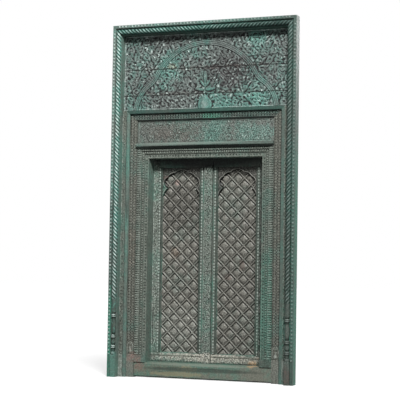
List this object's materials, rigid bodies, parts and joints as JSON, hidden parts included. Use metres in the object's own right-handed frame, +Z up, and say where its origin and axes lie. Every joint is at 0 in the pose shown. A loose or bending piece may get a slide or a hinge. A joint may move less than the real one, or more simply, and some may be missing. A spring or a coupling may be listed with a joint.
{
  "type": "carved wooden double door with frame",
  "caption": "Carved wooden double door with pivot-hung lattice leaves in a deep stepped frame with rope columns and an arched tympanum.",
  "frame": {"origin": "centre of the footprint on the floor", "axes": "+Z up, -Y out of the carved front, +X to the right seen from the front"},
  "size_m": [1.65, 0.3014, 3],
  "materials": {
    "teal_paint": "worn teal paint",
    "rope_paint": "worn teal paint on carved rope",
    "worn_carving": "weathered carving with traces of green paint",
    "sill_paint": "trodden painted wood",
    "leaf_carving": "weathered carving",
    "lattice_wood": "weathered lattice",
    "bare_wood": "bare aged wood",
    "nail_iron": "rusted iron"
  },
  "bodies": {
    "frame": {"left_post_board": "teal_paint", "right_post_board": "teal_paint", "top_rail_board": "teal_paint", "left_rope_column": "rope_paint", "right_rope_column": "rope_paint", "top_rope_moulding": "rope_paint", "left_bead_strip": "teal_paint", "right_bead_strip": "teal_paint", "top_bead_strip": "teal_paint", "left_outer_band": "worn_carving", "right_outer_band": "worn_carving", "left_fillet": "teal_paint", "right_fillet": "teal_paint", "cornice": "teal_paint", "left_upright": "worn_carving", "right_upright": "worn_carving", "head_beam": "worn_carving", "frieze_panel": "worn_carving", "lower_cornice": "worn_carving", "tympanum_lower_plank": "worn_carving", "tympanum_middle_plank": "worn_carving", "tympanum_upper_plank": "worn_carving", "tympanum_battens": "bare_wood", "left_jamb": "worn_carving", "right_jamb": "worn_carving", "lintel": "worn_carving", "sill": "sill_paint", "pivot_beam": "bare_wood"},
    "left_leaf": {"left_hanging_stile": "leaf_carving", "left_meeting_stile": "leaf_carving", "left_top_rail": "leaf_carving", "left_bottom_rail": "leaf_carving", "left_lattice_panel": "lattice_wood", "left_cusped_arch": "leaf_carving", "left_pearl_strips": "leaf_carving", "left_back_ledges": "bare_wood", "left_ledge_nails": "nail_iron", "astragal": "leaf_carving"},
    "right_leaf": {"right_hanging_stile": "leaf_carving", "right_meeting_stile": "leaf_carving", "right_top_rail": "leaf_carving", "right_bottom_rail": "leaf_carving", "right_lattice_panel": "lattice_wood", "right_cusped_arch": "leaf_carving", "right_pearl_strips": "leaf_carving", "right_back_ledges": "bare_wood", "right_ledge_nails": "nail_iron"}
  },
  "joints": [
    {"name": "left_leaf_pivot", "type": "hinge", "parent": "frame", "child": "left_leaf", "pos_m": [-0.538, 0.09025, 0.133], "axis": [0, 0, 1], "range_deg": [0, 95]},
    {"name": "right_leaf_pivot", "type": "hinge", "parent": "frame", "child": "right_leaf", "pos_m": [0.538, 0.09025, 0.133], "axis": [0, 0, -1], "range_deg": [0, 95]}
  ]
}
